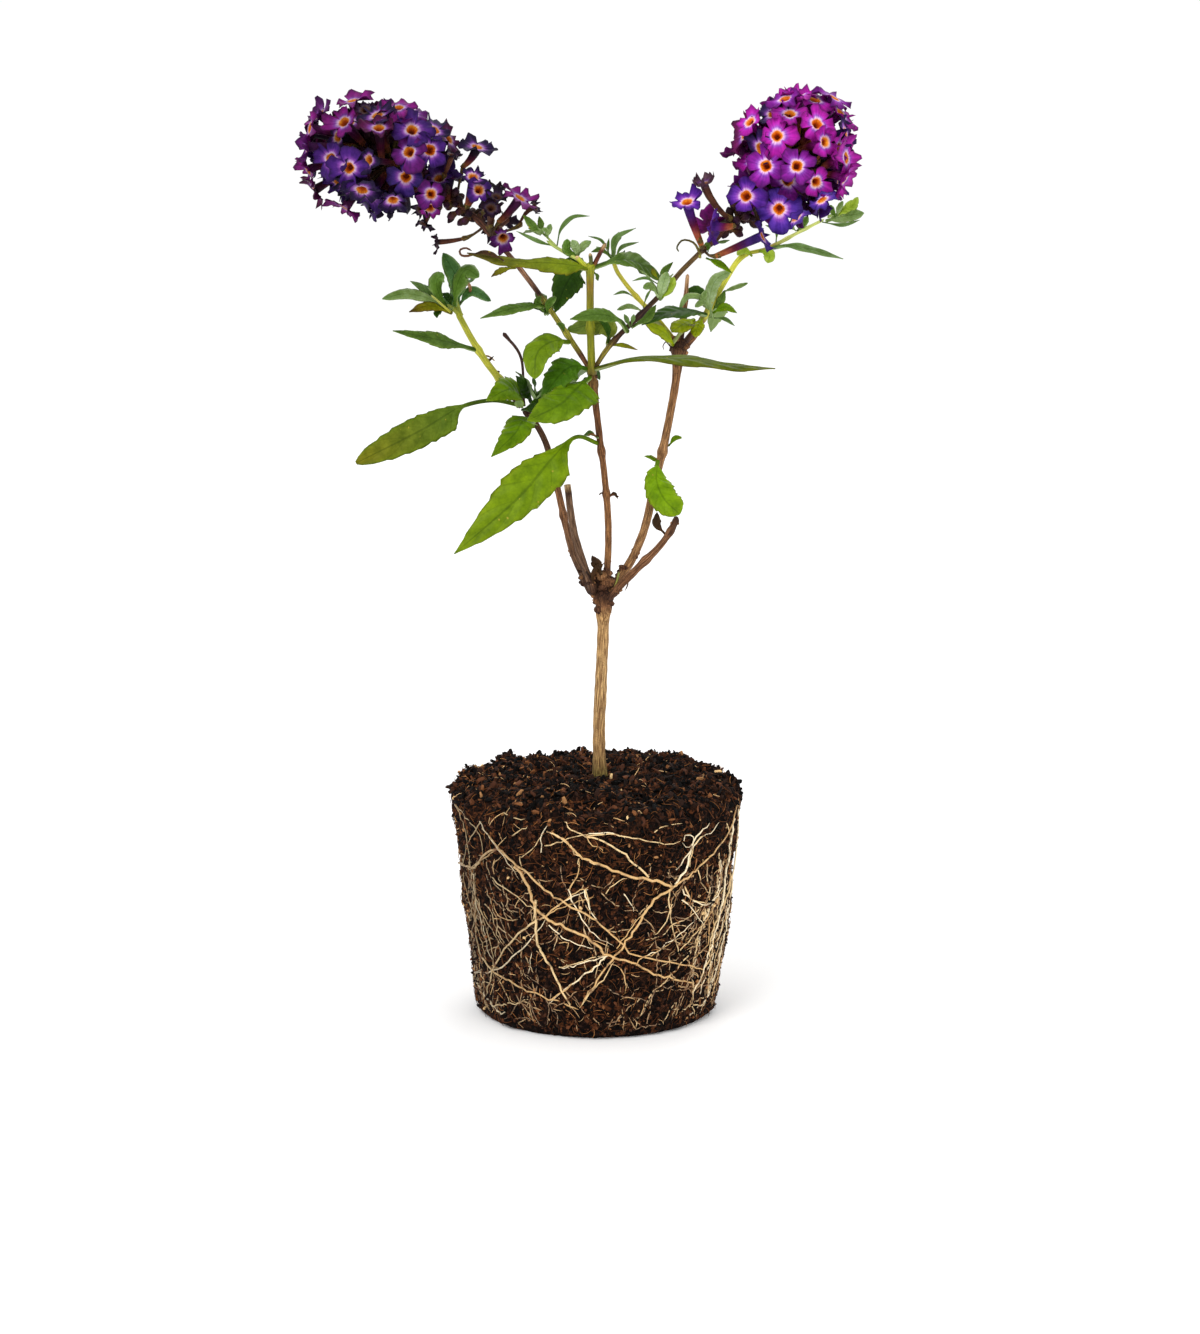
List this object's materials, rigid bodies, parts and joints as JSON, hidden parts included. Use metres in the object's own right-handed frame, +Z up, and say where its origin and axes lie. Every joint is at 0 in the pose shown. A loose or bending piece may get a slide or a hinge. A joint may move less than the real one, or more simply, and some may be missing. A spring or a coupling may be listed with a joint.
{
  "type": "young butterfly bush on its root ball",
  "caption": "Young flowering shrub on its root ball: forked woody stems, toothed leaves and rounded heads of small tube flowers.",
  "frame": {"origin": "centre of the root ball's flat underside", "axes": "+Z up through the root ball and trunk, -Y towards the side that the flowers are shown from, +X to the right of that view"},
  "size_m": [0.1122, 0.0586, 0.1852],
  "materials": {
    "compost": "matte crumbly compost",
    "brown_bark": "fibrous bark",
    "grey_bark": "weathered bark",
    "green_stem": "smooth green skin",
    "leaf": "veined leaf",
    "dark_leaf": "veined leaf",
    "yellow_leaf": "ageing leaf",
    "withered": "dry shrivelled leaf",
    "petals": "soft petals"
  },
  "bodies": {
    "root": {"root_ball": "compost", "trunk": "brown_bark", "left_stem": "grey_bark", "cut_stub": "grey_bark", "middle_stem": "brown_bark", "right_stem": "brown_bark", "lower_right_stem": "brown_bark", "left_shoot": "green_stem", "dead_twig": "grey_bark", "middle_shoot": "green_stem", "left_flower_branch": "brown_bark", "right_flower_branch": "brown_bark", "right_dead_stub": "brown_bark", "right_upper_shoot": "green_stem", "inner_shoot": "green_stem", "top_right_twig": "green_stem", "upper_left_twig": "green_stem", "left_flower_head": "petals", "left_flower_tail": "petals", "right_flower_head": "petals", "right_flower_tail": "petals", "left_tip_leaves": "leaf", "inner_tip_leaves": "leaf", "upper_left_tip_leaves": "leaf", "right_twig_leaves": "leaf", "left_fork_leaves": "leaf", "right_bud_leaves": "leaf", "right_knot_leaves": "leaf", "right_shoot_leaves": "leaf", "centre_inner_leaves": "leaf", "long_left_leaf": "leaf", "lower_left_leaf": "leaf", "left_shoot_leaf": "leaf", "round_leaf": "leaf", "bright_leaf": "leaf", "shaded_leaf": "dark_leaf", "left_knot_leaf": "leaf", "left_knot_upper_leaf": "leaf", "middle_back_leaf": "dark_leaf", "right_long_leaf": "leaf", "right_stem_leaf": "leaf", "crossing_leaf": "dark_leaf", "arched_leaf": "yellow_leaf", "top_left_leaf": "yellow_leaf", "top_right_leaf": "dark_leaf", "hanging_leaf": "dark_leaf", "curled_left_leaf": "yellow_leaf", "dark_right_leaf": "dark_leaf", "right_shoot_back_leaf": "leaf", "top_right_twig_leaf": "leaf", "withered_leaf": "withered"}
  },
  "joints": []
}
